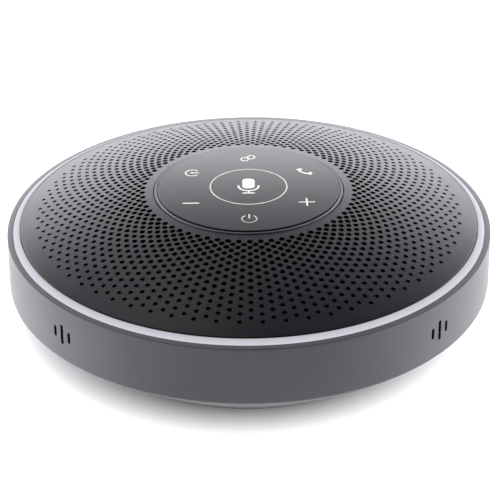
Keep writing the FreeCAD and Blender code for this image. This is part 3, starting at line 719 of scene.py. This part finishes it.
def make_flexing_ring(node, outline):
    """Soft ring of the loudspeaker in wedges, each the outline turned through its share of a full turn."""
    half = math.pi / FLEX_WEDGES
    for index in range(FLEX_WEDGES):
        middle = 2 * half * index
        name = f"{node}_wedge_{index:02d}"
        piece = loose_object(name, wedge(name, outline, middle - half, middle + half, FLEX_STEPS))
        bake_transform(piece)
        finish_piece(piece, node)


def make_surround():
    """Half roll between two flat landings, one on the cone's rim and one on the basket's flange."""
    low = SURROUND[0].z
    high = low + 0.4 * MM
    roll_in, roll_out = CONE[1].x + 0.1 * MM, 22.8 * MM
    landing_in, landing_out = roll_in - 1.3 * MM, SURROUND[1].x
    rise = 0.5 * (roll_out - roll_in)
    outline = [(landing_in, low), *arch(roll_in, roll_out, low, rise), (roll_out, low), (landing_out, low),
               (landing_out, high), *arch(roll_out, roll_in, high, rise), (roll_in, high), (landing_in, high)]
    make_flexing_ring("speaker_surround", outline)


def make_spider():
    """Waved disc from the voice coil's former to the basket."""
    wave, crests = 0.5 * MM, 6
    low = SPIDER[0].z + wave
    high = low + 0.3 * MM
    first, last = 9.6 * MM, 17.7 * MM
    edges = [first + (last - first) * index / crests for index in range(crests + 1)]
    outline = [(FORMER[1].x, low)]
    for index in range(crests):
        outline += arch(edges[index], edges[index + 1], low, wave * (-1) ** index)
    outline += [(last, low), (SPIDER[1].x, low), (SPIDER[1].x, high)]
    for index in reversed(range(crests)):
        outline += arch(edges[index + 1], edges[index], high, wave * (-1) ** index)
    outline += [(first, high), (FORMER[1].x, high)]
    make_flexing_ring("speaker_spider", outline)


def tile_border():
    """Points round one hole's tile as shares of the tile, from -0.5 to 0.5, one for each side of the hole."""
    quarters = [-0.5, -0.25, 0.0, 0.25]
    bottom = [(x, -0.5) for x in quarters]
    right = [(0.5, y) for y in quarters]
    top = [(-x, 0.5) for x in quarters]
    left = [(-0.5, -y) for y in quarters]
    return bottom + right + top + left


def make_grille():
    """Every hole is one tile of a ring; each ring is turned by half a tile against the next."""
    columns = 4 * HOLES_PER_RING
    tile = 2 * math.pi / HOLES_PER_RING
    bm = bmesh.new()
    shared = {}

    def grid_vertex(column, level, under):
        """Vertex shared by neighbouring tiles: column counts quarter tiles, level quarter pitches.

        The line between two rings zigzags, so that each hole sits in a wide hexagon.
        """
        key = (column % columns, level, under)
        if key not in shared:
            sway = 0.0
            if level % 4 == 2:
                sway = ZIGZAG * math.cos(math.pi / 2 * (column - (level - 2) / 2))
            radius = FIRST_RING_R + RING_PITCH * (level / 4 + sway)
            shared[key] = bm.verts.new(dome_point(radius, key[0] * tile / 4, under))
        return shared[key]

    def dome_point(radius, angle, under):
        height = dome_z(radius)
        if under:
            shrink = (SPHERE_R - GRILLE_THICK) / SPHERE_R
            radius, height = radius * shrink, DOME_CENTRE_Z + (height - DOME_CENTRE_Z) * shrink
        return turned([(radius, height)], angle - math.pi / 2)[0]

    border = tile_border()
    for ring in range(HOLE_RINGS):
        radius = FIRST_RING_R + RING_PITCH * ring
        share = ring / (HOLE_RINGS - 1)
        hole_r = 0.5 * (FIRST_HOLE_D + (LAST_HOLE_D - FIRST_HOLE_D) * share)
        for hole in range(HOLES_PER_RING):
            middle = 4 * hole + 2 * (ring % 2)
            outer, rim = [], []
            for under in (False, True):
                outer.append([grid_vertex(middle + round(4 * x), 4 * ring + round(4 * y), under) for x, y in border])
                loop = []
                for side in range(HOLE_SIDES):
                    turn = 2 * math.pi * (side - HOLE_SIDES * 0.375) / HOLE_SIDES
                    along = hole_r * math.cos(turn) / radius
                    loop.append(bm.verts.new(dome_point(radius + hole_r * math.sin(turn), middle * tile / 4 + along,
                                                        under)))
                rim.append(loop)
            for index in range(HOLE_SIDES):
                bm.faces.new((outer[0][index - 1], outer[0][index], rim[0][index], rim[0][index - 1]))
                bm.faces.new((outer[1][index], outer[1][index - 1], rim[1][index - 1], rim[1][index]))
                # Each bore face takes the second material, the painted shade of the holes.
                bore = bm.faces.new((rim[0][index - 1], rim[0][index], rim[1][index], rim[1][index - 1]))
                bore.material_index = 1

    def loop_of(radius, height):
        """Level loop with a vertex for each quarter tile."""
        angles = [column * tile / 4 - math.pi / 2 for column in range(columns)]
        return [bm.verts.new(turned([(radius, height)], angle)[0]) for angle in angles]

    outer_level = 4 * HOLE_RINGS - 2
    outer_top = [[grid_vertex(column, outer_level, False) for column in range(columns)]]
    outer_under = [[grid_vertex(column, outer_level, True) for column in range(columns)]]
    corner = 0.5 * MM
    flat_r = DOME_R - corner
    start_r = FIRST_RING_R + RING_PITCH * (HOLE_RINGS - 0.5)
    for share in (0.33, 0.66, 1.0):
        radius = start_r + (flat_r - start_r) * share
        outer_top.append(loop_of(radius, dome_z(radius)))
    for step in (1, 2, 3):
        angle = math.pi / 2 * step / 3
        outer_top.append(loop_of(flat_r + corner * math.sin(angle), dome_z(flat_r) - corner * (1 - math.cos(angle))))
    skirt_r = DOME_R - GRILLE_THICK
    for share in (0.5, 1.0):
        radius = start_r + (skirt_r - start_r) * share
        outer_under.append(loop_of(radius, dome_z(radius, GRILLE_THICK)))
    closing = [loop_of(DOME_R, DOME_LOW_Z), loop_of(skirt_r, DOME_LOW_Z)]
    bridge(bm, outer_top + closing + outer_under[::-1])

    inner_top = [[grid_vertex(column, -2, False) for column in range(columns)]]
    inner_under = [[grid_vertex(column, -2, True) for column in range(columns)]]
    edge = 0.1 * MM
    plain_r = DOME_IN_R + 1.2 * MM
    for radius in (plain_r, DOME_IN_R + edge):
        inner_top.append(loop_of(radius, dome_z(radius)))
    inner_under.append(loop_of(plain_r, dome_z(plain_r, GRILLE_THICK)))
    closing = [loop_of(DOME_IN_R, dome_z(DOME_IN_R) - edge), loop_of(DOME_IN_R, dome_z(DOME_IN_R, GRILLE_THICK))]
    bridge(bm, inner_top + closing + inner_under[::-1])

    bmesh.ops.recalc_face_normals(bm, faces=bm.faces)
    mesh = to_mesh("grille_dome", bm)
    smooth_mesh(mesh, 40)
    piece = finish_piece(new_object("grille_dome", mesh), "grille")
    # The bores of the holes take the painted shade, the second material.
    piece.data.materials.append(BORE_SHADE_PAINT)
    return piece


# ---------------------------------------------------------------- floor, light and camera
def make_floor():
    bm = bmesh.new()
    bmesh.ops.create_circle(bm, cap_ends=True, segments=128, radius=FLOOR_R)
    floor = loose_object("floor", to_mesh("floor", bm))
    paint = Paint("floor_white")
    paint.set("Base Color", paint.ramp(paint.noise(6.0), shades((0.88, 0.88, 0.885), 0.004)))
    paint.set("Roughness", paint.spread(paint.noise(40.0), 0.8, 0.9))
    floor.data.materials.append(paint.material)
    return floor


def add_lamp(name, light, place, target):
    """Lamp at a place, turned to face its target."""
    lamp = loose_object(name, light)
    lamp.location = place
    lamp.rotation_euler = (Vector(target) - Vector(place)).to_track_quat("-Z", "Y").to_euler()
    return lamp


def softbox(floor, name, place, size, power, reflected):
    """Rectangular light aimed at the object and kept off the floor. Reflections may show it or not."""
    light = bpy.data.lights.new(name, "AREA")
    light.shape = "RECTANGLE"
    light.size, light.size_y = size
    light.energy = power
    lamp = add_lamp(name, light, place, SOFTBOX_TARGET)
    lamp.visible_glossy = reflected
    flagged = bpy.data.collections.new(name + "_flag")
    flagged.objects.link(floor)
    flagged.collection_objects[0].light_linking.link_state = "EXCLUDE"
    lamp.light_linking.receiver_collection = flagged


def floor_lights(floor):
    """Wide suns for the floor alone, which keep it white without lighting the object."""
    receivers = bpy.data.collections.new("floor_only")
    receivers.objects.link(floor)
    for name, place, angle, energy in FLOOR_GLOWS:
        light = bpy.data.lights.new(name, "SUN")
        light.angle = math.radians(angle)
        light.energy = energy
        lamp = add_lamp(name, light, place, (0, 0, 0))
        lamp.light_linking.receiver_collection = receivers


def make_world():
    """Bright low band at the back and sides, dim overhead and dim behind the camera."""
    world = bpy.data.worlds.new("studio")
    bpy.context.scene.world = world
    world.use_nodes = True
    nodes, links = world.node_tree.nodes, world.node_tree.links
    place = nodes.new("ShaderNodeTexCoord")
    split = nodes.new("ShaderNodeSeparateXYZ")
    ramp = nodes.new("ShaderNodeValToRGB")
    while len(ramp.color_ramp.elements) < len(SKY_BANDS):
        ramp.color_ramp.elements.new(0.5)
    for element, (degrees, level) in zip(ramp.color_ramp.elements, SKY_BANDS):
        element.position = math.sin(math.radians(degrees))
        element.color = (*(share * level for share in SKY_TINT), 1)
    front = nodes.new("ShaderNodeMapRange")
    front.interpolation_type = "SMOOTHSTEP"
    for socket, value in zip(("From Min", "From Max", "To Min", "To Max"), FRONT_FADE):
        front.inputs[socket].default_value = value
    strength = nodes.new("ShaderNodeMath")
    strength.operation = "MULTIPLY"
    strength.inputs[1].default_value = SKY_STRENGTH
    links.new(place.outputs["Generated"], split.inputs["Vector"])
    links.new(split.outputs["Z"], ramp.inputs["Fac"])
    links.new(split.outputs["Y"], front.inputs["Value"])
    links.new(front.outputs["Result"], strength.inputs[0])
    links.new(ramp.outputs["Color"], nodes["Background"].inputs["Color"])
    links.new(strength.outputs["Value"], nodes["Background"].inputs["Strength"])


def make_camera():
    """Camera above the front and a touch to the left, level but for a slight roll."""
    camera = bpy.data.cameras.new("camera")
    camera.lens = CAMERA_LENS
    camera.sensor_width = CAMERA_SENSOR
    camera.shift_x = CAMERA_SHIFT_X
    camera.clip_start = 0.01
    view = bpy.data.objects.new("camera", camera)
    orbit = Matrix.Rotation(math.radians(CAMERA_ORBIT), 4, "Z")
    tilt = Matrix.Rotation(math.radians(90 - CAMERA_PITCH), 4, "X")
    roll = Matrix.Rotation(math.radians(CAMERA_ROLL), 4, "Z")
    view.matrix_world = orbit @ Matrix.Translation((0, -CAMERA_AWAY, CAMERA_HEIGHT)) @ tilt @ roll
    bpy.context.scene.collection.objects.link(view)
    bpy.context.scene.camera = view
    bpy.context.scene.view_settings.view_transform = "Standard"


def main():
    make_camera()
    make_world()
    floor = make_floor()
    floor_lights(floor)
    for box in SOFTBOXES:
        softbox(floor, *box)
    dress_cad_nodes()
    make_side_housing()
    make_mic_meshes()
    make_base_cover()
    make_foot_ring()
    make_light_ring()
    make_panel_trim()
    make_surround()
    make_spider()
    make_grille()


main()
